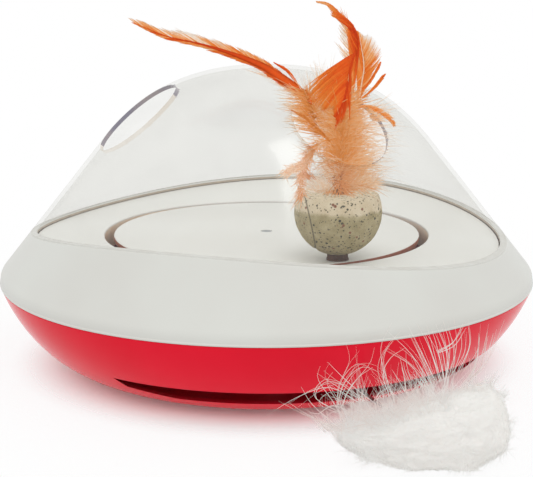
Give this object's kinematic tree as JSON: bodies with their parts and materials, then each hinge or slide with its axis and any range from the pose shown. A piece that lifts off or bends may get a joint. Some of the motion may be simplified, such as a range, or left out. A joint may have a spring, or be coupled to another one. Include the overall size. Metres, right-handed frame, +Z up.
{
  "type": "feather cat toy",
  "caption": "Low round motorised cat toy: red bowl base, white shell, clear dome with paw holes, a turning catnip ball with orange feathers and a white puff wagging from a slot.",
  "frame": {"origin": "on the floor at the centre of the turntable's axis", "axes": "+Z up along the turntable's axis; -Y the front, where the white rim is highest; +X to the right of the front"},
  "size_m": [0.2841, 0.2929, 0.1844],
  "materials": {
    "red_gloss": "polished moulding",
    "white_shell": "satin moulding",
    "clear_dome": "clear polished moulding",
    "rubber": "matt",
    "felt": "pressed felt",
    "steel": "drawn and plated",
    "brass": "turned",
    "dark_plastic": "moulded",
    "cell_sleeve": "shrink sleeve",
    "board": "solder mask",
    "lead_sleeve": "extruded sleeve",
    "gear_plastic": "moulded",
    "catnip": "pressed leaf",
    "wood_plug": "turned",
    "orange_feather": "dyed feather",
    "white_down": "fluffy down"
  },
  "bodies": {
    "base": {"base_bowl": "red_gloss", "rubber_feet": "rubber", "mid_shell": "white_shell", "deck_ring": "white_shell", "clear_dome": "clear_dome", "shell_screws": "steel", "spindle": "steel", "centre_screw": "steel", "idler_axle": "steel", "motor_can": "steel", "motor_end_cap": "white_shell", "battery_box": "dark_plastic", "batteries": "cell_sleeve", "battery_contacts": "brass", "battery_door": "red_gloss", "door_screw": "steel", "control_board": "board", "board_screws": "steel", "switch_body": "dark_plastic", "wiring": "lead_sleeve"},
    "rotor": {"turntable": "white_shell", "rotor_gear": "gear_plastic", "felt_clutch": "felt", "ball_pedestal": "dark_plastic", "catnip_ball": "catnip", "feather_ferrule": "wood_plug", "down_plume": "orange_feather", "long_feather": "orange_feather", "upright_feather": "orange_feather", "broad_feather": "orange_feather"},
    "idler": {"idler_gear": "gear_plastic"},
    "motor_rotor": {"motor_shaft": "steel", "motor_pinion": "brass"},
    "wag": {"wag_arm": "white_shell", "wire_crimp": "brass", "spring_wire": "steel", "white_puff": "white_down"},
    "switch": {"switch_slider": "white_shell"}
  },
  "joints": [
    {"name": "turntable_spin", "type": "hinge", "parent": "base", "child": "rotor", "pos_m": [0, 0, 0.065], "axis": [0, 0, 1], "continuous": true, "deforming": ["down_plume", "long_feather", "upright_feather", "broad_feather"]},
    {"name": "idler_spin", "type": "hinge", "parent": "base", "child": "idler", "pos_m": [-0.02376, 0.02376, 0.038], "axis": [0, 0, 1], "continuous": true},
    {"name": "motor_spin", "type": "hinge", "parent": "base", "child": "motor_rotor", "pos_m": [-0.04776, 0.02376, 0.034], "axis": [0, 0, 1], "continuous": true},
    {"name": "puff_wag", "type": "hinge", "parent": "base", "child": "wag", "pos_m": [0, 0, 0.01385], "axis": [0, 0, 1], "range_deg": [-42, 46]},
    {"name": "switch_slide", "type": "slide", "parent": "base", "child": "switch", "axis": [0.342, -0.9397, 0], "range_m": [0, 0.004]}
  ],
  "couplings": [
    {"joint": "idler_spin", "follows": "turntable_spin", "ratio": -6},
    {"joint": "motor_spin", "follows": "turntable_spin", "ratio": 30}
  ]
}
